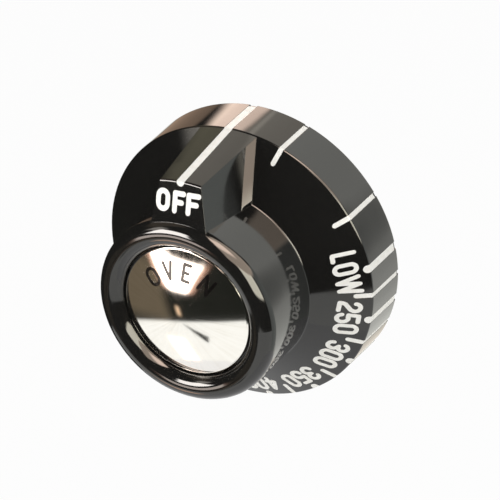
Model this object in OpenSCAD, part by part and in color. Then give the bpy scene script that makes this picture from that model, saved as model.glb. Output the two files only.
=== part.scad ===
// Oven thermostat dial: a moulded black dial with a wide numbered skirt, a conical face, a round
// hub with a rolled lip, a wedge-shaped OFF pointer and a polished metal insert.
// The shaft runs along Y. The front faces -Y and the OFF pointer stands up, towards +Z.
// The origin lies on the shaft's axis, at the mouth of the shaft socket.
// Profiles are drawn as [radius, height], with height counted from the skirt's back edge.

/* [Skirt] */
// Diameter over the skirt's back edge
skirt_d = 63.5; // [56:0.5:76]
// Depth of the skirt's rim, from its back edge to its front edge
rim_h = 11.2; // [8:0.2:14]
// Draft of the rim, in degrees, so that it leaves the mould
rim_draft = 1.6; // [0.5:0.1:3]
// Rounding where the rim turns into the face
rim_edge_r = 0.6; // [0.2:0.1:1.2]
// Rounding of the rim's back edge
back_edge_r = 0.4; // [0.2:0.1:1]
// Thickness of the moulded walls
wall = 2.6; // [2:0.1:3.2]

/* [Face and hub] */
// Height of the conical face, from the rim's front edge to the hub
face_rise = 7.0; // [5:0.2:9]
// Diameter of the hub
hub_d = 41.0; // [38:0.5:45]
// Fillet where the hub meets the face
hub_fillet_r = 0.5; // [0.2:0.1:1.5]
// Depth of the whole dial, from the skirt's back edge to the lip's crest
dial_h = 35.3; // [33:0.1:40]

/* [Metal insert] */
// Diameter of the insert
insert_d = 29.2; // [26:0.2:31]
// Gap all round between the insert and the lip
insert_gap = 0.3; // [0.1:0.05:0.6]
// How far the insert's edge lies below the lip's crest
insert_drop = 2.0; // [1.6:0.1:2.6]
// Height of the insert's domed middle above its edge
insert_crown = 2.0; // [1:0.1:3]
// Thickness of the insert's sheet
insert_sheet = 0.6; // [0.4:0.1:1]
// Radius of the bead rolled round the insert's edge
insert_bead_r = 0.45; // [0.3:0.05:0.6]
// Height of the insert's edge above the floor of its seat
insert_depth = 1.6; // [1.2:0.1:2.2]
// Thickness of the web below the insert's seat
web = 2.4; // [1.8:0.1:3.2]

/* [OFF pointer] */
// How far the pointer's foot lies inside the rim's front edge
foot_inset = 0.15; // [0.1:0.05:0.4]
// How far the pointer's ridge lies inside the skirt's radius
ridge_inset = 3.05; // [2:0.05:4.5]
// How far the pointer's ridge lies below the lip's crest
ridge_drop = 4.3; // [3.6:0.1:6]
// Rounding along the ridge
ridge_r = 0.5; // [0.2:0.1:1]
// Slope of the panel that carries the word OFF, in degrees
panel_slope = 16.5; // [12:0.5:20]
// Width of the pointer at its ridge
ridge_w = 9.5; // [8:0.5:12]
// How far each side of the pointer opens out towards the hub, in degrees
side_splay = 12.4; // [8:0.2:16]
// Draft of the pointer's sides, in degrees
side_draft = 6.7; // [4:0.1:9]

/* [Index lines] */
// Depth of the engraved lines
line_depth = 0.4; // [0.2:0.05:0.6]
// How far the paint in a line lies below the surface
paint_recess = 0.04; // [0.02:0.01:0.1]
// How far the paint stops short of the skirt's back edge
paint_stop = 0.9; // [0:0.1:1.5]
// Width of the OFF line
off_line_w = 1.85; // [1.2:0.05:2.6]
// Length of the OFF line on its panel, inside the ridge
off_line_run = 1.0; // [0.8:0.05:1.2]
// Width of the lines at the numbers
main_line_w = 1.7; // [1.2:0.05:2.2]
// Length of those lines on the face
main_line_run = 1.2; // [0.8:0.05:1.6]
// Width of the lines between the numbers
fine_line_w = 1.05; // [0.6:0.05:1.4]
// Length of those lines on the face
fine_line_run = 3.4; // [2:0.1:4.4]
// Angles from OFF of the two lines below the numbers, clockwise, in degrees
low_heat_angle_1 = 23; // [18:0.5:32]
low_heat_angle_2 = 59.5; // [45:0.5:66]
// Angle from OFF of the first number's line, clockwise, in degrees
scale_start_angle = 81; // [76:0.5:90]
// Angle from one number's line to the next, in degrees
scale_step_angle = 22.4; // [19:0.1:24]
// How many lines carry a number
scale_count = 7; // [5:1:9]

/* [Shaft socket] */
// Diameter of the shaft that the socket takes
shaft_d = 6.35; // [5:0.05:8]
// Clearance round the shaft
shaft_clearance = 0.05; // [0.02:0.01:0.1]
// Thickness of the shaft across its flat
shaft_flat = 5.55; // [4.2:0.05:5.8]
// Outer diameter of the socket's tube
tube_d = 13.0; // [11:0.5:16]
// How far the socket's mouth lies in from the skirt's back edge
tube_setback = 2.5; // [0:0.1:5]
// Depth of the round mouth, before the flat begins
mouth_depth = 4.0; // [3:0.5:6]
// Clearance round the shaft in the mouth
mouth_clearance = 0.3; // [0.25:0.05:0.5]
// Depth of the whole socket
socket_depth = 20.0; // [16:0.5:24]
// Depth of the spring's slot behind the flat
slot_depth = 1.5; // [1.3:0.1:1.8]
// Width of the spring
spring_w = 2.8; // [2:0.1:3.4]
// Thickness of the spring's strip
spring_t = 0.4; // [0.3:0.05:0.5]
// How far the spring stands out of its slot, into the shaft's space
spring_proud = 0.2; // [0.1:0.05:0.3]
// Play of the spring in its slot, on each side
spring_side_play = 0.1; // [0.05:0.05:0.2]
// Play of the spring in its slot, at each end
spring_end_play = 1.5; // [0.5:0.1:3]

/* [Ribs] */
// How many ribs hold the socket's tube
rib_count = 4; // [3:1:8]
// Thickness of a rib
rib_t = 2.0; // [1.4:0.1:3]
// Height of a rib's foot above the tube's mouth
rib_setback = 2.0; // [0.5:0.1:5]
// Slope of a rib's edge, in degrees, rising towards the hub
rib_slope = 30; // [15:1:45]

/* [Hidden] */
$fn = 96;
arc_steps = 6;
cut = 1;

skirt_r = skirt_d / 2;
hub_r = hub_d / 2;
insert_r = insert_d / 2;
face_h = rim_h + face_rise;
seat_r = insert_r + insert_gap;
lip_r = (hub_r - seat_r) / 2;
lip_c = [hub_r - lip_r, dial_h - lip_r];
insert_h = dial_h - insert_drop;
seat_h = insert_h - insert_depth;
web_h = seat_h - web;
rim_front_r = skirt_r - rim_h * tan(rim_draft);

ridge = [skirt_r - ridge_inset, dial_h - ridge_drop];
foot_slope = (rim_front_r - foot_inset - ridge[0]) / (ridge[1] - rim_h);
foot = [rim_front_r - foot_inset + rim_edge_r * foot_slope, rim_h - rim_edge_r];
panel_end = [lip_c[0], ridge[1] + (ridge[0] - lip_c[0]) * tan(panel_slope)];

mouth_r = shaft_d / 2 + mouth_clearance;
socket_r = shaft_d / 2 + shaft_clearance;
flat_y = shaft_flat - shaft_d / 2 + shaft_clearance;
flat_h = tube_setback + mouth_depth;
flat_l = socket_depth - mouth_depth;
slot_y = flat_y + slot_depth;
slot_w = spring_w + 2 * spring_side_play;

dome_r = (pow(insert_r - insert_bead_r, 2) + pow(insert_crown, 2)) / (2 * insert_crown);

// Points of the skirt, face and hub, and of the pointer over them, from the back inwards
plain_points = [[skirt_r, 0], [rim_front_r, rim_h], [hub_r, face_h], [hub_r, lip_c[1]]];
plain_radii = [0, rim_edge_r, hub_fillet_r, 0];
pointer_points = [foot, ridge, panel_end];
pointer_radii = [0, ridge_r, 0];

function side(u) = [-u[1], u[0]] / norm(u);
function turned(u, a) = [u[0] * cos(a) - u[1] * sin(a), u[0] * sin(a) + u[1] * cos(a)];
function cross2(u, v) = u[0] * v[1] - u[1] * v[0];

// Corner b of the path a, b, c, with its two edges moved inwards by d1 and d2
function corner(a, b, c, d1, d2) =
    let (u = b - a, v = c - b, p = b + side(u) * d1, q = b + side(v) * d2)
    p + u * cross2(q - p, v) / cross2(u, v);

// A path moved inwards by d. Its first point stays at its height, and its last point stays at
// its height or, where the path doesn't end along the axis, at its radius.
function inset(points, d) =
    let (last = len(points) - 1,
         across = points[last][0] == points[last - 1][0] ? [-1, 0] : [0, -1])
    [for (i = [0 : last])
        i == 0 ? corner([0, points[0][1]], points[0], points[1], 0, d)
        : i == last ? corner(points[i - 1], points[i], points[i] + across, d, 0)
        : corner(points[i - 1], points[i], points[i + 1], d, d)];

// A corner turned into an arc of radius r
function arc(a, b, c, r) =
    let (u = (b - a) / norm(b - a), v = (c - b) / norm(c - b),
         turn = atan2(cross2(u, v), u * v), s = sign(turn),
         middle = b - u * r * tan(abs(turn) / 2) + side(u) * r * s)
    [for (i = [0 : arc_steps]) middle - turned(side(u) * r * s, turn * i / arc_steps)];

function rounded(points, radii) =
    [for (i = [0 : len(points) - 1])
        each radii[i] == 0 ? [points[i]] : arc(points[i - 1], points[i], points[i + 1], radii[i])];

// Moves the dial from its drawing position, front up, to the part's own frame
module in_place() rotate([90, 0, 0]) translate([0, 0, -tube_setback]) children();

// The dial's outer form without the pointer, moved inwards by d
module plain_form(d = 0) {
    path = rounded(inset(plain_points, d), plain_radii);
    rotate_extrude() {
        polygon(concat([[0, 0]], path, [[seat_r, lip_c[1]], [seat_r, seat_h], [0, seat_h]]));
        translate(lip_c) circle(r = lip_r - d);
    }
}

// What lies on the hub's side of one flat side of the pointer, moved inwards by d
module inside_side(d) {
    reach = 2 * skirt_d;
    at_ridge = [ridge_w / 2, ridge[0] * cos(asin(ridge_w / 2 / ridge[0])), ridge[1]];
    translate(at_ridge) rotate([0, -side_draft, side_splay])
        translate([-reach - d, -reach / 2, -reach / 2]) cube(reach);
}

// What lies between the pointer's two flat sides, moved inwards by d
module between_sides(d) {
    intersection() {
        inside_side(d);
        mirror([1, 0, 0]) inside_side(d);
        translate([-skirt_r, 0, -cut]) cube([skirt_d, skirt_d, dial_h + 2 * cut]);
    }
}

// The pointer's form, from its foot inside the rim to the lip, moved inwards by d
module pointer_form(d = 0) {
    path = rounded(inset(pointer_points, d), pointer_radii);
    intersection() {
        rotate_extrude() polygon(concat([[lip_c[0], foot[1]]], path));
        between_sides(d);
    }
}

module outer_form(d = 0) {
    plain_form(d);
    pointer_form(d);
}

// The hollow behind the face, the hub and the pointer
module hollow() {
    face_path = inset(plain_points, wall);
    pointer_path = inset(pointer_points, wall);
    reach = hub_r - wall;
    rotate_extrude()
        polygon([[0, -cut], [face_path[0][0], -cut], face_path[0], face_path[1], face_path[2],
                 [reach, web_h], [0, web_h]]);
    intersection() {
        rotate_extrude()
            polygon([[0, -cut], [pointer_path[0][0], -cut], pointer_path[0], pointer_path[1],
                     pointer_path[2], [0, pointer_path[2][1]]]);
        between_sides(wall);
        translate([0, 0, -cut]) cylinder(r = skirt_r, h = web_h + cut);
    }
}

// The socket's tube and the ribs that hold it, which run out into the hub's and the face's wall
module tube_and_ribs() {
    top = web_h + web / 2;
    tube_r = tube_d / 2;
    foot = tube_setback + rib_setback;
    translate([0, 0, tube_setback]) cylinder(r = tube_r, h = top - tube_setback);
    intersection() {
        rotate_extrude()
            polygon([[0, foot], [tube_r, foot],
                     [skirt_r, foot + (skirt_r - tube_r) * tan(rib_slope)], [skirt_r, top], [0, top]]);
        plain_form(wall / 2);
        for (i = [0 : rib_count - 1])
            rotate([0, 0, (i + 0.5) * 360 / rib_count])
                translate([0, -rib_t / 2, 0]) cube([skirt_r, rib_t, top]);
    }
}

// The shaft's space: a round mouth, then a round bore with a flat, and the spring's slot
module socket() {
    translate([0, 0, tube_setback - cut]) cylinder(r = mouth_r, h = mouth_depth + cut);
    intersection() {
        translate([0, 0, flat_h - cut]) cylinder(r = socket_r, h = flat_l + cut);
        translate([-socket_r, flat_y - 2 * socket_r, flat_h - cut])
            cube([2 * socket_r, 2 * socket_r, flat_l + cut]);
    }
    translate([-slot_w / 2, 0, flat_h]) cube([slot_w, slot_y, flat_l]);
}

// What is left over outside the rounding of the rim's back edge
module back_edge_waste() {
    rotate_extrude() difference() {
        translate([skirt_r - back_edge_r, -cut]) square(back_edge_r + cut);
        translate([skirt_r - back_edge_r, back_edge_r]) circle(r = back_edge_r);
    }
}

// An upright column with the plan of an index line, from radius r0 outwards and height h0 up,
// with a round inner end
module line_column(w, r0, h0, angle) {
    rotate([0, 0, -angle]) translate([0, r0 + w / 2, h0]) linear_extrude(dial_h - h0 + cut) {
        circle(d = w);
        translate([-w / 2, 0]) square([w, skirt_r]);
    }
}

module off_column(h0) {
    line_column(off_line_w, ridge[0] - off_line_run, h0, 0);
}

module scale_columns(h0) {
    for (a = [low_heat_angle_1, low_heat_angle_2])
        line_column(fine_line_w, rim_front_r - fine_line_run, h0, a);
    for (i = [0 : scale_count - 1])
        line_column(main_line_w, rim_front_r - main_line_run, h0,
                    scale_start_angle + i * scale_step_angle);
    for (i = [0 : scale_count - 2])
        line_column(fine_line_w, rim_front_r - fine_line_run, h0,
                    scale_start_angle + (i + 0.5) * scale_step_angle);
}

// Black moulding: skirt, face, hub, lip and pointer in one piece, hollow behind
module dial_body() {
    color([0.03, 0.03, 0.032]) in_place() difference() {
        union() {
            difference() {
                outer_form();
                hollow();
            }
            tube_and_ribs();
        }
        socket();
        back_edge_waste();
        difference() {
            off_column(-cut);
            outer_form(line_depth);
        }
        difference() {
            scale_columns(-cut);
            plain_form(line_depth);
        }
    }
}

// Domed metal disc with a rolled edge, pressed into the seat inside the lip
module face_insert() {
    edge_r = insert_r - insert_bead_r;
    color([0.8, 0.79, 0.77]) in_place() rotate_extrude() {
        intersection() {
            translate([0, insert_h + insert_crown - dome_r]) difference() {
                circle(r = dome_r, $fn = 360);
                circle(r = dome_r - insert_sheet, $fn = 360);
            }
            translate([0, seat_h]) square([edge_r, insert_depth + insert_crown]);
        }
        translate([edge_r, insert_h - insert_bead_r]) circle(r = insert_bead_r);
        translate([insert_r - insert_sheet, seat_h])
            square([insert_sheet, insert_depth - insert_bead_r]);
    }
}

// Hairpin of spring steel in the slot behind the socket's flat
module shaft_spring() {
    bend_r = (slot_depth + spring_proud) / 2;
    leg = flat_l - 2 * spring_end_play - bend_r;
    color([0.55, 0.56, 0.58]) in_place()
        translate([-spring_w / 2, slot_y - bend_r, flat_h + spring_end_play + leg]) rotate([0, 90, 0])
            linear_extrude(spring_w) {
                intersection() {
                    difference() {
                        circle(r = bend_r);
                        circle(r = bend_r - spring_t);
                    }
                    translate([-2 * bend_r, -bend_r]) square([2 * bend_r, 2 * bend_r]);
                }
                translate([0, bend_r - spring_t]) square([leg, spring_t]);
                translate([0, -bend_r]) square([leg, spring_t]);
            }
}

// White paint in the OFF line
module off_line_paint() {
    color([0.95, 0.95, 0.91]) in_place() intersection() {
        off_column(paint_stop);
        difference() {
            outer_form(paint_recess);
            outer_form(line_depth);
        }
    }
}

// White paint in the lines of the scale
module scale_line_paint() {
    color([0.95, 0.95, 0.91]) in_place() intersection() {
        scale_columns(paint_stop);
        difference() {
            plain_form(paint_recess);
            plain_form(line_depth);
        }
    }
}

dial_body();
face_insert();
shaft_spring();
off_line_paint();
scale_line_paint();
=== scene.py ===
import math

import bpy
from mathutils import Matrix, Vector


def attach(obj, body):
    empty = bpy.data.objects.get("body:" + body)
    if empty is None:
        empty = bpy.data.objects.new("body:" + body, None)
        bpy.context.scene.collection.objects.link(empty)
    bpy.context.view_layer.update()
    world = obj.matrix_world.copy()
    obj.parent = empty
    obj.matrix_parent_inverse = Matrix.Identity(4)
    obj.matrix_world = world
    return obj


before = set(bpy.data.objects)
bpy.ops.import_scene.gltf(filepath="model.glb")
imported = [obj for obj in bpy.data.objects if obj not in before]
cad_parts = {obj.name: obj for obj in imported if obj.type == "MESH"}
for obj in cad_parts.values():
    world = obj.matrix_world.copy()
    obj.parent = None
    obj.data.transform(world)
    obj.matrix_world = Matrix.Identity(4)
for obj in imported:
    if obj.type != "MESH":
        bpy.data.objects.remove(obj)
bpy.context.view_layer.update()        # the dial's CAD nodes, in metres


# Camera
# The photograph is taken from the right of the dial's front and from above it, about 60 cm away,
# with a long lens. The dial sits a little right of the middle of the frame and above it.
eye = Vector((0.27271, -0.4514, 0.28214))
aim = Vector((0, 0.0025, 0))
camera_roll = math.radians(-4.46)
view_line = (aim - eye).normalized()
level_right = view_line.cross(Vector((0, 0, 1))).normalized()
level_up = level_right.cross(view_line)
camera_right = level_right * math.cos(camera_roll) + level_up * math.sin(camera_roll)
camera_up = level_up * math.cos(camera_roll) - level_right * math.sin(camera_roll)
bpy.ops.object.camera_add()
camera = bpy.context.object
camera.name = "camera"
camera.matrix_world = Matrix((camera_right, camera_up, -view_line)).transposed().to_4x4()
camera.location = eye
camera.data.sensor_width = 36
camera.data.lens = 202.95
camera.data.shift_x = -0.0301
camera.data.shift_y = -0.0217
camera.data.clip_start = 0.01
camera.data.clip_end = 20
bpy.context.scene.camera = camera


# Dial body
# One black thermoset moulding: skirt, conical face, hub, rolled lip and OFF pointer. It comes out of a
# polished steel mould, so it is glossy all over, with a moulded skin's faint waves and a handled bloom.


class Wire:
    """A shader socket that Python's operators turn into Math nodes."""

    def __init__(self, tree, socket=None):
        self.tree, self.socket = tree, socket

    def node(self, kind, settings=None, values=None):
        """Adds a node. Its settings come first, then the values or wires of its sockets."""
        made = self.tree.nodes.new(kind)
        for name, value in (settings or {}).items():
            setattr(made, name, value)
        for name, value in (values or {}).items():
            if isinstance(value, Wire):
                self.tree.links.new(value.socket, made.inputs[name])
            else:
                made.inputs[name].default_value = value
        return made

    def wire(self, kind, output, settings=None, values=None):
        """Adds a node as node() does, and gives the wire of one of its outputs."""
        return Wire(self.tree, self.node(kind, settings, values).outputs[output])

    def maths(self, operation, first, second=0.0):
        return self.wire("ShaderNodeMath", 0, {"operation": operation}, {0: first, 1: second})

    def __add__(self, other):
        return self.maths("ADD", self, other)

    def __mul__(self, other):
        return self.maths("MULTIPLY", self, other)

    def __sub__(self, other):
        return self.maths("SUBTRACT", self, other)

    def __rsub__(self, other):
        return self.maths("SUBTRACT", other, self)

    __radd__, __rmul__ = __add__, __mul__

    def feed(self, node, name):
        self.tree.links.new(self.socket, node.inputs[name])


def finish(name, metallic=0.0):
    """A new Principled material, its shader and a wire to add nodes with."""
    material = bpy.data.materials.new(name)
    material.use_nodes = True
    shader = material.node_tree.nodes["Principled BSDF"]
    shader.inputs["Metallic"].default_value = metallic
    return material, shader, Wire(material.node_tree)


def place_of(wires):
    return wires.wire("ShaderNodeTexCoord", "Object")


def parts_of(wires, vector):
    """The three parts of a vector's wire."""
    parts = wires.node("ShaderNodeSeparateXYZ", None, {0: vector})
    return [Wire(wires.tree, output) for output in parts.outputs]


def smooth_rise(wires, value, edge, soft):
    """0 below an edge and 1 above it, with a smooth step between."""
    return wires.wire("ShaderNodeMapRange", 0, {"interpolation_type": "SMOOTHSTEP"},
                      {"Value": value, "From Min": edge - soft / 2, "From Max": edge + soft / 2})


def cloudy(wires, size, low, high, place=None):
    """A soft random pattern of a size in metres, whose values run from low to high."""
    noise = wires.wire("ShaderNodeTexNoise", 0, None,
                       {"Vector": place or place_of(wires), "Scale": 1 / size, "Detail": 3.0})
    return wires.wire("ShaderNodeMapRange", 0, None,
                      {"Value": noise, "From Min": 0.3, "From Max": 0.7, "To Min": low, "To Max": high})


def tint(shader, wires, amount, first, second):
    """Gives the shader's colour: the first one where the amount is 0, the second one where it is 1."""
    wires.wire("ShaderNodeMix", 2, {"data_type": "RGBA"},
               {0: amount, 6: (*first, 1), 7: (*second, 1)}).feed(shader, "Base Color")


def ripple(shader, wires, size, height, relief=0.0, normal=None):
    """A faint waviness of the surface, in metres across and in height, over a relief in metres."""
    waves = wires.wire("ShaderNodeTexNoise", 0, None,
                       {"Vector": place_of(wires), "Scale": 1 / size, "Detail": 1.0})
    bump = {"Height": waves * height + relief, "Distance": 1.0, "Strength": 1.0}
    if normal:
        bump["Normal"] = normal
    wires.wire("ShaderNodeBump", 0, None, bump).feed(shader, "Normal")


def give(name, material):
    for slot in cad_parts[name].material_slots:
        slot.material = material


# The body's sizes in mm, from its back plane up, which lies at back_y in the part's frame
back_y = 2.5
hub_r = 20.5
face_z = 18.2            # where the hub meets the conical face
rim_front_r = 31.437
rim_front_z = 11.2       # where the conical face meets the rim
face_slope = (face_z - rim_front_z) / (rim_front_r - hub_r)
face_slant = math.hypot(face_slope, 1)

edge_rounding = 0.0001
moulding, shader, wires = finish("black_moulding")
shader.inputs["IOR"].default_value = 1.58
tint(shader, wires, cloudy(wires, 0.0006, 0.0, 1.0), (0.009, 0.0085, 0.008), (0.012, 0.0115, 0.0105))
cloudy(wires, 0.007, 0.05, 0.09).feed(shader, "Roughness")

# The pointer's sides flare into the face at their foot, up to flare_high above it. They lie between
# side_inner and side_outer from the dial's middle plane, and above side_low. Lengths here are in metres.
flare_high = 0.0029
flare_slope = 1.15
side_inner = 0.004
side_outer = 0.0095
side_low = 0.019
side_soft = 0.001
x, y, z = parts_of(wires, place_of(wires))
beside = wires.maths("ABSOLUTE", x)
facing_side = wires.maths("ABSOLUTE", parts_of(wires, wires.wire("ShaderNodeNewGeometry", "True Normal"))[0])
pointer_side = (smooth_rise(wires, beside, side_inner, side_soft)
                * (1 - smooth_rise(wires, beside, side_outer, side_soft))
                * smooth_rise(wires, z, side_low, side_soft) * smooth_rise(wires, facing_side, 0.8, 0.1))
radius = wires.maths("SQRT", x * x + z * z)
below_hub_foot = (back_y - face_z) / 1000 - y
above_face = (below_hub_foot + (radius - hub_r / 1000) * face_slope) * (1 / face_slant)
flare = wires.maths("MAXIMUM", flare_high - above_face, 0.0) * pointer_side * flare_slope
rounded = wires.wire("ShaderNodeBevel", 0, {"samples": 8}, {"Radius": edge_rounding})
ripple(shader, wires, 0.006, 0.000006, flare, rounded)
give("dial_body", moulding)


# Metal insert
# A thin sheet pressed to a shallow dome, with its edge turned down into the seat inside the lip. It is
# turned and polished, so it mirrors the studio. Faint streaks run out from its middle: in the roughness they
# are the turning's marks, and in the colour they are painted reflection, darker radial bands for the light of
# turned metal.
dome_r = 51.06
dome_top = 35.3          # height of the dome's middle above the body's back plane
pole_r = 0.0018          # inside it, the normal is worked out from the dome's centre, to keep the pole smooth
polished, shader, wires = finish("polished_metal", 1.0)
x, y, z = parts_of(wires, place_of(wires))
near_pole = 1 - smooth_rise(wires, wires.maths("SQRT", x * x + z * z), pole_r, 0.0004)
from_centre = wires.wire("ShaderNodeCombineXYZ", 0, None,
                         {0: x, 1: y - (back_y + dome_r - dome_top) / 1000, 2: z})
dome_normal = wires.wire("ShaderNodeVectorMath", 0, {"operation": "NORMALIZE"}, {0: from_centre})
mesh_normal = wires.wire("ShaderNodeNewGeometry", "Normal")
smooth_normal = wires.wire("ShaderNodeMix", 1, {"data_type": "VECTOR"},
                           {0: near_pole, 4: mesh_normal, 5: dome_normal})
ripple(shader, wires, 0.012, 0.00002, 0.0, smooth_normal)
outwards = wires.wire("ShaderNodeVectorMath", 0, {"operation": "NORMALIZE"},
                      {0: wires.wire("ShaderNodeCombineXYZ", 0, None, {0: x, 2: z})})
streaks_and_painted_sheen = cloudy(wires, 0.09, 0.0, 1.0, outwards)
(streaks_and_painted_sheen * 0.05 + 0.045).feed(shader, "Roughness")
# The darker radial streaks in the colour are painted reflection streaks of turned metal, not a colour of the
# metal
tint(shader, wires, streaks_and_painted_sheen * cloudy(wires, 0.004, 0.2, 0.9), (0.89, 0.87, 0.84), (0.8, 0.77, 0.72))
give("face_insert", polished)


# Shaft spring
# A hairpin of bright steel strip in the slot behind the socket's flat. It presses the shaft's flat home.
# The strip is cold drawn, so fine scratches run along it.
spring_steel, shader, wires = finish("spring_steel", 1.0)
drawn_out = wires.wire("ShaderNodeMapping", 0, None, {"Vector": place_of(wires), "Scale": (1, 0.04, 1)})
cloudy(wires, 0.0002, 0.18, 0.36, drawn_out).feed(shader, "Roughness")
tint(shader, wires, cloudy(wires, 0.002, 0.0, 1.0), (0.56, 0.57, 0.58), (0.46, 0.46, 0.47))
ripple(shader, wires, 0.001, 0.000003)
give("shaft_spring", spring_steel)


# Index lines
# Warm white paint wiped into the engraved lines of the scale and of the pointer. It has a dull gloss
# and dried a little unevenly.
paint, shader, wires = finish("white_paint")
tint(shader, wires, cloudy(wires, 0.0012, 0.0, 1.0), (0.9, 0.89, 0.85), (0.84, 0.82, 0.76))
cloudy(wires, 0.0008, 0.28, 0.44).feed(shader, "Roughness")
ripple(shader, wires, 0.0007, 0.000008)
give("off_line_paint", paint)
give("scale_line_paint", paint)


# Scale numbers
# The numbers and the word LOW stand inside the scale's main lines, in the same white paint. They are
# drawn with even strokes and round ends, as an engraving cutter leaves them. Sizes are in mm.
digit_wide = 2.65
digit_high = 4.65
digit_stroke = 0.84
digit_pitch = 2.8
number_base_r = 25.0
film = 0.03              # how far the paint stands out of the surface
film_root = 0.12         # how far it reaches into it
point_gap = 0.3          # length of the steps that a stroke's outline is drawn in
sharp_turn = 0.4         # a corner that turns more than this, in radians, is drawn round on its outer side
arc_step = 15            # degrees between the points of an arc
cap_steps = 8            # steps of the half circle at a stroke's end
corner_step = 0.35       # radians between the points of a round corner


def bow(x, y, radius_x, radius_y, start, end):
    """Points on an arc round (x, y) from one angle to another, in degrees."""
    steps = max(3, round(abs(end - start) / arc_step))
    turns = [math.radians(start + (end - start) * i / steps) for i in range(steps + 1)]
    return [(x + radius_x * math.cos(t), y + radius_y * math.sin(t)) for t in turns]


def sign_strokes(sign, wide, high):
    """The middle lines of a sign's strokes, in a box that is wide x high. A ring ends where it starts."""
    r = wide / 2
    low, top = r, high - r
    oval = bow(r, top, r, r, 0, 180) + bow(r, low, r, r, 180, 360)
    lines = {
        "0": [oval + oval[:1]],
        "2": [bow(r, top, r, r, 180, -15) + [(wide * 0.85, high * 0.57), (wide * 0.12, high * 0.28),
                                             (0, high * 0.14), (0, 0), (wide, 0)]],
        "3": [bow(r, top, r, r, 170, -60) + [(wide * 0.4, high * 0.53)],
              [(wide * 0.4, high * 0.53)] + bow(r, low * 1.05, r, r * 1.05, 60, -170)],
        "4": [[(wide * 0.7, 0), (wide * 0.7, high * 0.97)],
              [(wide * 0.6, high), (0, high * 0.3), (wide, high * 0.3)]],
        "5": [[(wide * 0.95, high), (wide * 0.08, high), (wide * 0.02, high * 0.52)],
              [(wide * 0.02, high * 0.52)] + bow(r, low * 1.1, r, r * 1.15, 110, -170)],
        "L": [[(0, high), (0, 0), (wide, 0)]],
        "W": [[(0, high), (wide * 0.25, 0), (wide * 0.5, high), (wide * 0.75, 0), (wide, high)]],
        "F": [[(0, 0), (0, high), (wide, high)], [(0, high * 0.5), (wide * 0.8, high * 0.5)]],
        "V": [[(0, high), (wide / 2, 0), (wide, high)]],
        "E": [[(wide, 0), (0, 0), (0, high), (wide, high)], [(0, high * 0.5), (wide * 0.8, high * 0.5)]],
        "N": [[(0, 0), (0, high), (wide, 0), (wide, high)]],
    }
    lines["O"] = lines["0"]
    return lines[sign]


def small_steps(outline):
    """The same closed outline with a point at every step of point_gap."""
    points = []
    for a, b in zip(outline, outline[1:] + outline[:1]):
        count = max(1, round((b - a).length / point_gap))
        points += [a.lerp(b, i / count) for i in range(count)]
    return points


def left_edge(points, half, closed):
    """The line at the distance half to the left of the points, round on the outer side of a corner."""
    last = len(points) - 1
    edge = []
    for i, p in enumerate(points[:last] if closed else points):
        before = points[last - 1] if closed and i == 0 else points[max(i - 1, 0)]
        after = points[min(i + 1, last)]
        came = (p - before).normalized() if before is not p else (after - p).normalized()
        goes = (after - p).normalized() if after is not p else came
        n0, n1 = Vector((-came.y, came.x)), Vector((-goes.y, goes.x))
        turn = math.atan2(came.x * goes.y - came.y * goes.x, came.dot(goes))
        if turn > -sharp_turn:
            edge.append(p + (n0 + n1) * half / (1 + n0.dot(n1)))
        else:
            steps = max(2, round(-turn / corner_step))
            for k in range(steps + 1):
                a = turn * k / steps
                edge.append(p + Vector((n0.x * math.cos(a) - n0.y * math.sin(a),
                                        n0.x * math.sin(a) + n0.y * math.cos(a))) * half)
    return edge


def round_end(p, n, half):
    """The half circle round the end of a stroke, from its left side, n, to its right side."""
    forward = Vector((n.y, -n.x))
    turns = [math.pi * k / cap_steps for k in range(1, cap_steps)]
    return [p + (n * math.cos(t) + forward * math.sin(t)) * half for t in turns]


def choose(*pieces):
    bpy.ops.object.select_all(action="DESELECT")
    for piece in pieces:
        piece.select_set(True)
    bpy.context.view_layer.objects.active = pieces[0]


def flat_stroke(path, stroke, thick):
    """One stroke as a closed solid, standing on the drawing plane."""
    half = stroke / 2
    points = [Vector(point) for point in path]
    closed = (points[0] - points[-1]).length < 1e-6
    there, back = left_edge(points, half, closed), left_edge(points[::-1], half, closed)
    if closed:
        outlines = [there, back]
    else:
        n_end = (there[-1] - points[-1]).normalized()
        n_start = (back[-1] - points[0]).normalized()
        outlines = [there + round_end(points[-1], n_end, half)
                    + back + round_end(points[0], n_start, half)]
    drawing = bpy.data.curves.new("stroke", "CURVE")
    drawing.dimensions = "2D"
    drawing.fill_mode = "BOTH"
    drawing.extrude = thick / 2
    for outline in map(small_steps, outlines):
        spline = drawing.splines.new("POLY")
        spline.points.add(len(outline) - 1)
        for point, place in zip(spline.points, outline):
            point.co = (place.x, place.y, 0, 1)
        spline.use_cyclic_u = True
    piece = bpy.data.objects.new("stroke", drawing)
    bpy.context.collection.objects.link(piece)
    choose(piece)
    bpy.ops.object.convert(target="MESH")
    piece = bpy.context.object
    bpy.ops.object.mode_set(mode="EDIT")
    bpy.ops.mesh.select_all(action="SELECT")
    bpy.ops.mesh.remove_doubles(threshold=1e-4)
    bpy.ops.mesh.beautify_fill()
    bpy.ops.mesh.normals_make_consistent(inside=False)
    bpy.ops.object.mode_set(mode="OBJECT")
    piece.data.transform(Matrix.Translation((0, 0, thick / 2)))
    return piece


def flat_sign(sign, wide, high, stroke):
    """A sign as one closed solid on the drawing plane. Its outer size is wide x high."""
    inner = [[(x + stroke / 2, y + stroke / 2) for x, y in path]
             for path in sign_strokes(sign, wide - stroke, high - stroke)]
    strokes = [flat_stroke(path, stroke, film + film_root) for path in inner]
    whole = strokes[0]
    for other in strokes[1:]:
        union = whole.modifiers.new("union", "BOOLEAN")
        union.operation = "UNION"
        union.solver = "EXACT"
        union.object = other
        choose(whole)
        bpy.ops.object.modifier_apply(modifier="union")
        bpy.data.objects.remove(other)
    return whole


def to_row(x, y, z):
    """From the dial's drawing, front up, in mm, to the part's frame in metres."""
    return Vector((x, back_y - z, y)) / 1000


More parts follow.
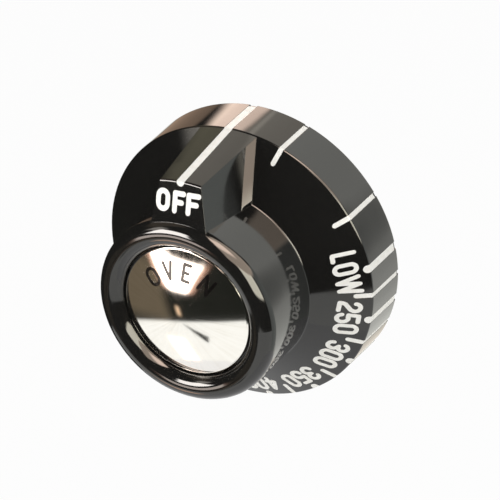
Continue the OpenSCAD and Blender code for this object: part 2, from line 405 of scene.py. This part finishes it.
def turned(angle, x, y):
    """A point of a sign that stands upright at an angle of the scale: y is along the radius, x across it."""
    a = math.radians(angle)
    return y * math.sin(a) + x * math.cos(a), y * math.cos(a) - x * math.sin(a)


def on_face(angle, x, y, lift):
    """A point of the conical face, lifted off it."""
    px, py = turned(angle, x, y)
    r = math.hypot(px, py)
    out = lift * face_slope / face_slant
    return to_row(px * (1 + out / r), py * (1 + out / r),
                  face_z - (r - hub_r) * face_slope + lift / face_slant)


def lay(flat, place):
    """A copy of a flat sign, with every point moved onto its surface by place(x, y, lift)."""
    piece = flat.copy()
    piece.data = flat.data.copy()
    bpy.context.collection.objects.link(piece)
    for vertex in piece.data.vertices:
        vertex.co = place(vertex.co.x, vertex.co.y, vertex.co.z - film_root)
    return piece


def one_piece(name, parts, material):
    """Joins laid signs to one named piece of the dial, which rides with it."""
    choose(*parts)
    bpy.ops.object.join()
    piece = bpy.context.object
    piece.name = name
    bpy.ops.object.mode_set(mode="EDIT")
    bpy.ops.mesh.select_all(action="SELECT")
    bpy.ops.mesh.normals_make_consistent(inside=False)
    bpy.ops.object.mode_set(mode="OBJECT")
    piece.data.materials.clear()
    piece.data.materials.append(material)
    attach(piece, "root")


scale_start = 81.0       # angle of the word LOW, clockwise from the OFF pointer, in degrees
scale_step = 22.4        # from one number to the next
low_letters = [("L", -4.75, 2.1), ("O", -2.3, digit_wide), ("W", 0.65, 4.3)]    # sign, start, width
words = [(scale_start, low_letters)]
for k in range(1, 7):
    number = str(200 + 50 * k)
    digits = [(sign, (i - 1) * digit_pitch - digit_wide / 2, digit_wide) for i, sign in enumerate(number)]
    words.append((scale_start + scale_step * k, digits))
flats = {}
laid = []
for angle, letters in words:
    for sign, start, wide in letters:
        if sign not in flats:
            flats[sign] = flat_sign(sign, wide, digit_high, digit_stroke)
        laid.append(lay(flats[sign], lambda x, y, lift: on_face(angle, x + start, y + number_base_r, lift)))
for flat in flats.values():
    bpy.data.objects.remove(flat)
one_piece("scale_numbers", laid, paint)


# Word OFF
# The word on the pointer's sloping panel is printed in the same white paint as the numbers, with round
# ends and heavier strokes. Sizes are in mm.
off_high = 4.6
off_stroke = 1.08
off_base = 22.2
ridge_r = 28.7           # where the panel meets the pointer's top
ridge_z = 31.0
panel_slope = math.tan(math.radians(16.5))
panel_slant = math.hypot(panel_slope, 1)


def on_panel(x, y, lift):
    """A point of the pointer's panel, lifted off it."""
    r = math.hypot(x, y)
    out = lift * panel_slope / panel_slant
    return to_row(x * (1 + out / r), y * (1 + out / r),
                  ridge_z + (ridge_r - r) * panel_slope + lift / panel_slant)


laid = []
for sign, start, wide in [("O", -5.4, 3.3), ("F", -1.5, 3.0), ("F", 1.65, 3.3)]:
    flat = flat_sign(sign, wide, off_high, off_stroke)
    laid.append(lay(flat, lambda x, y, lift: on_panel(x + start, y + off_base, lift)))
    bpy.data.objects.remove(flat)
one_piece("off_word", laid, paint)


# Word on the insert
# The plain word OVEN is printed in black enamel on the bare metal, on an arc over the insert's upper half.
# Its strokes are thinner than the scale's. Sizes are in mm.
word_base_r = 7.7
word_high = 4.2
word_stroke = 0.68
enamel, shader, wires = finish("black_enamel")
tint(shader, wires, cloudy(wires, 0.0005, 0.0, 1.0), (0.003, 0.0026, 0.0022), (0.006, 0.005, 0.0045))
cloudy(wires, 0.0006, 0.08, 0.2).feed(shader, "Roughness")
ripple(shader, wires, 0.0006, 0.000004)


def on_dome(angle, x, y, lift):
    """A point of the insert's dome, lifted off it."""
    px, py = turned(angle, x, y)
    deep = math.sqrt(dome_r ** 2 - px ** 2 - py ** 2)
    scale = (dome_r + lift) / dome_r
    return to_row(px * scale, py * scale, dome_top - dome_r + deep * scale)


laid = []
for sign, angle, wide in [("O", -42, 3.0), ("V", -16, 2.6), ("E", 9, 2.1), ("N", 38, 2.9)]:
    flat = flat_sign(sign, wide, word_high, word_stroke)
    laid.append(lay(flat, lambda x, y, lift: on_dome(angle, x - wide / 2, y + word_base_r, lift)))
    bpy.data.objects.remove(flat)
one_piece("insert_word", laid, enamel)


# Studio
# A pale table below the dial, a tent of dark cloth with lit panels that only the gloss sees, and plain
# soft lamps in front, above and behind.
floor_z = -0.42
floor_white = 0.94       # share of plain white in the floor where it shows as background
tent_r = 0.56


def bare(material):
    """Clears a material's or a world's nodes, and gives a wire to add others with."""
    material.use_nodes = True
    material.node_tree.nodes.clear()
    return Wire(material.node_tree)


def seen(wires):
    """1 for rays that show the background: from the camera, from gloss and through glass."""
    rays = wires.node("ShaderNodeLightPath")
    kinds = [Wire(wires.tree, rays.outputs[f"Is {kind} Ray"])
             for kind in ("Camera", "Glossy", "Transmission")]
    return wires.maths("MINIMUM", kinds[0] + kinds[1] + kinds[2], 1.0)


bpy.ops.object.select_all(action="DESELECT")
bpy.ops.mesh.primitive_plane_add(size=12, location=(0, 0, 0))
floor = bpy.context.object
floor.name = "floor"
floor.data.transform(Matrix.Translation((0, 0, floor_z)))
floor.data.materials.append(bpy.data.materials.new("floor"))
wires = bare(floor.data.materials[0])
matt = wires.wire("ShaderNodeBsdfDiffuse", 0, None, {"Color": (0.85, 0.85, 0.84, 1)})
white = wires.wire("ShaderNodeEmission", 0, None, {"Color": (1, 1, 1, 1), "Strength": 1.0})
mixed = wires.wire("ShaderNodeMixShader", 0, None, {0: seen(wires) * floor_white, 1: matt, 2: white})
wires.node("ShaderNodeOutputMaterial", None, {"Surface": mixed})

world = bpy.data.worlds.new("studio")
bpy.context.scene.world = world
wires = bare(world)
dim = wires.wire("ShaderNodeBackground", 0, None, {"Color": (1, 1, 1, 1), "Strength": 0.35})
white = wires.wire("ShaderNodeBackground", 0, None, {"Color": (1, 1, 1, 1), "Strength": 1.0})
mixed = wires.wire("ShaderNodeMixShader", 0, None, {0: seen(wires), 1: dim, 2: white})
wires.node("ShaderNodeOutputWorld", None, {"Surface": mixed})

# Lit panels of the tent: azimuth from and to, elevation from and to, softness of the edges, in degrees,
# and the light that they send, as red, green and blue. Azimuth 0 is in front of the dial, 90 at its right.
panels = [
    (-45, -20, 8, 30, 4, (18, 17, 16)),
    (-60, -46, 24, 40, 8, (3, 2.8, 2.5)),
    (36, 85, 3, 30, 5, (9, 8.5, 7)),
    (19, 125, 29, 82, 6, (4.3, 3.5, 2.8)),
    (20, 80, 52, 75, 10, (8, 6, 5)),
    (-130, -62, 34, 70, 12, (0.36, 0.28, 0.2)),
    (-66, -38, -32, -8, 8, (0.13, 0.10, 0.065)),
    (-46, -35, -50, -39, 3, (3.2, 1.8, 1.1)),
    (-33, -31, -28, -24, 2, (1.0, 0.7, 0.45)),
    (92, 134, -60, 30, 6, (0.85, 0.9, 0.85)),
    (136, 200, -60, 60, 6, (1.5, 1.5, 1.4)),
    (-200, -158, -50, 56, 5, (1.25, 1.15, 1.0)),
    (-157, -140.5, 13, 37.5, 3, (5.2, 4.0, 3.3)),
    (-160, -141, 38, 56, 4, (1.2, 1.1, 0.95)),
    (-141, -133, 20, 40, 5, (0.6, 0.55, 0.38)),
    (-142, -135, -15, 13, 4, (0.5, 0.34, 0.24)),
    (-160, -140, -40, -16, 5, (1.0, 1.0, 0.95)),
]
cloth_glow = (0.016, 0.017, 0.014)
bpy.ops.object.select_all(action="DESELECT")
bpy.ops.mesh.primitive_uv_sphere_add(segments=64, ring_count=32, radius=tent_r)
tent = bpy.context.object
tent.name = "tent"
tent.data.materials.append(bpy.data.materials.new("tent"))
wires = bare(tent.data.materials[0])
x, y, z = parts_of(wires, place_of(wires))
azimuth = wires.maths("ARCTAN2", x, y * -1.0) * (180 / math.pi)
elevation = wires.maths("ARCSINE", z * (1 / tent_r)) * (180 / math.pi)


def between(value, low, high, soft):
    """1 between two edges and 0 outside them, with smooth steps."""
    return smooth_rise(wires, value, low, soft) * (1 - smooth_rise(wires, value, high, soft))


lit_shapes = [(between(azimuth, az0, az1, soft) * between(elevation, el0, el1, soft), colour)
              for az0, az1, el0, el1, soft, colour in panels]

# The front lamp's lower part narrows downwards, and has a warm rim
beam_azimuth = -30
beam_end = -17
beam_spread = 0.67
beam_width = wires.maths("ABSOLUTE", azimuth - beam_azimuth) - (elevation - beam_end) * beam_spread
beam_length = smooth_rise(wires, elevation, beam_end, 3) * (1 - smooth_rise(wires, elevation, -3, 3))
lit_shapes.append(((1 - smooth_rise(wires, beam_width, 5, 3)) * beam_length, (5.0, 4.6, 4.2)))
lit_shapes.append(((1 - smooth_rise(wires, beam_width, 7.5, 5)) * beam_length, (0.9, 0.5, 0.35)))

# The pale table's far edge rises towards the right, and a small dark wedge lies on the table
table_rise, table_front, table_highest = 0.125, -26.6, -26.5
table_edge = wires.maths("MINIMUM", azimuth * table_rise + table_front, table_highest)
wedge_azimuth, wedge_elevation, wedge_half_long = -26, -35, 7
wedge_taper = 0.14
wedge_tilt = math.radians(60)
aside, above = azimuth - wedge_azimuth, elevation - wedge_elevation
across = wires.maths("ABSOLUTE", aside * math.cos(wedge_tilt) + above * math.sin(wedge_tilt))
along = aside * math.sin(wedge_tilt) - above * math.cos(wedge_tilt)
dark_wedge = (1 - smooth_rise(wires, across - (along + wedge_half_long) * wedge_taper, 0, 0.8)) \
    * between(along, -wedge_half_long, 6, 1)
table = (1 - smooth_rise(wires, elevation - table_edge, 0, 1.5)) * (1 - dark_wedge * 0.95) \
    * smooth_rise(wires, azimuth, -80, 10) * (1 - smooth_rise(wires, azimuth, 92, 6))
lit_shapes.append((table, (1.1, 1.1, 1.06)))

light = wires.wire("ShaderNodeCombineXYZ", 0, None, dict(enumerate(cloth_glow)))
for inside, colour in lit_shapes:
    amount = wires.wire("ShaderNodeVectorMath", 0, {"operation": "SCALE"}, {0: colour, "Scale": inside})
    light = wires.wire("ShaderNodeVectorMath", 0, {"operation": "ADD"}, {0: light, 1: amount})
lit = wires.wire("ShaderNodeEmission", 0, None, {"Color": light, "Strength": 1.0})
wires.node("ShaderNodeOutputMaterial", None, {"Surface": lit})
tent.visible_camera = False
tent.visible_diffuse = False
tent.visible_transmission = False
tent.visible_shadow = False


def soft_lamp(name, azimuth, elevation, wide, high, radiance):
    """A rectangular lamp that covers wide x high degrees as the dial sees it. Only matt surfaces see it."""
    away = 1.5
    lamp = bpy.data.lights.new(name, "AREA")
    lamp.shape = "RECTANGLE"
    lamp.size = 2 * away * math.tan(math.radians(wide / 2))
    lamp.size_y = 2 * away * math.tan(math.radians(high / 2))
    lamp.energy = radiance * math.pi * lamp.size * lamp.size_y
    placed = bpy.data.objects.new(name, lamp)
    bpy.context.collection.objects.link(placed)
    a, e = math.radians(azimuth), math.radians(elevation)
    out = Vector((math.sin(a) * math.cos(e), -math.cos(a) * math.cos(e), math.sin(e)))
    side = Vector((math.cos(a), math.sin(a), 0))
    placed.matrix_world = Matrix((side, out.cross(side), out)).transposed().to_4x4()
    placed.location = out * away
    placed.visible_camera = False
    placed.visible_glossy = False


soft_lamp("front_lamp_left", -35, 15, 40, 50, 2.1)
soft_lamp("front_lamp_right", 48, 20, 40, 40, 2.1)
soft_lamp("top_lamp", 60, 65, 60, 40, 1.3)
soft_lamp("back_lamp", 200, 35, 60, 40, 1.0)

bpy.context.scene.view_settings.view_transform = "Standard"
